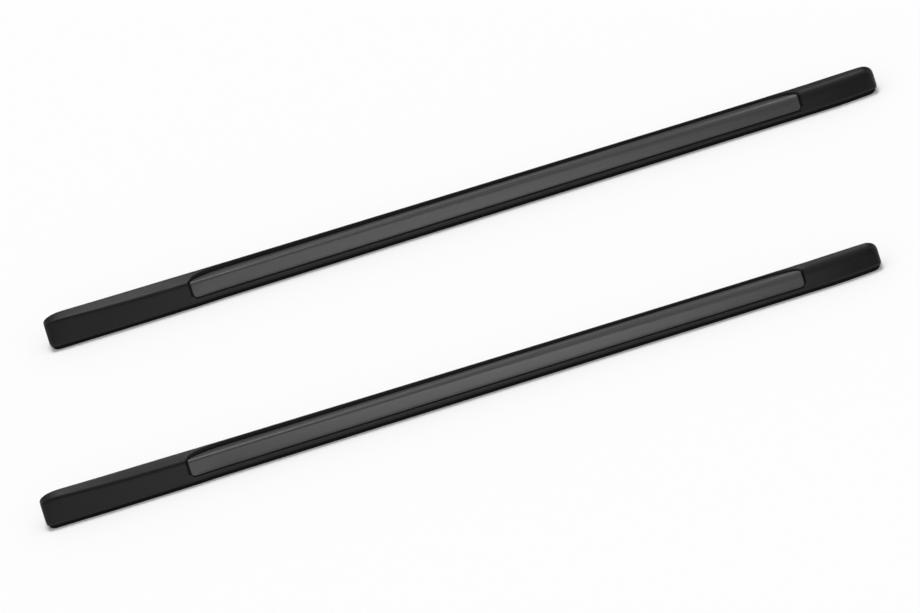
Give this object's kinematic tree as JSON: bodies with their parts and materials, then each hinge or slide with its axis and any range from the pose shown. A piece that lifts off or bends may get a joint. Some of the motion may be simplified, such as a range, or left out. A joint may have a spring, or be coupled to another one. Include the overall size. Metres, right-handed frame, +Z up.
{
  "type": "roof side rail pair",
  "caption": "Pair of flush roof side rails: moulded black covers with a creased graphite trim strip over a bolted aluminium base rail.",
  "frame": {"origin": "middle of the pair's footprint, on the surface that the rails lie on", "axes": "+Z up, X along the rails with the front tips at -X, the lit faces towards -Y"},
  "size_m": [1.738, 0.647, 0.0564],
  "materials": {
    "black_plastic": "fine-grained black moulded plastic with a low sheen",
    "graphite_trim": "satin graphite grey, fine even surface",
    "rubber": "dull black moulded rubber",
    "aluminium": "mill-finish extruded aluminium",
    "cast_foot": "die-cast aluminium, blasted grey",
    "zinc_steel": "bright zinc-plated steel",
    "tape": "grey acrylic foam tape"
  },
  "bodies": {
    "root": {"left_cover": "black_plastic", "left_trim_strip": "graphite_trim", "left_bonding_tape": "tape", "left_edge_seal": "rubber", "left_base_rail": "aluminium", "left_front_foot": "cast_foot", "left_middle_foot": "cast_foot", "left_rear_foot": "cast_foot", "left_front_pad": "rubber", "left_middle_pad": "rubber", "left_rear_pad": "rubber", "left_captive_nuts": "zinc_steel", "left_foot_screws": "zinc_steel", "left_spring_clips": "zinc_steel", "left_clip_rivets": "aluminium", "right_cover": "black_plastic", "right_trim_strip": "graphite_trim", "right_bonding_tape": "tape", "right_edge_seal": "rubber", "right_base_rail": "aluminium", "right_front_foot": "cast_foot", "right_middle_foot": "cast_foot", "right_rear_foot": "cast_foot", "right_front_pad": "rubber", "right_middle_pad": "rubber", "right_rear_pad": "rubber", "right_captive_nuts": "zinc_steel", "right_foot_screws": "zinc_steel", "right_spring_clips": "zinc_steel", "right_clip_rivets": "aluminium"}
  },
  "joints": []
}
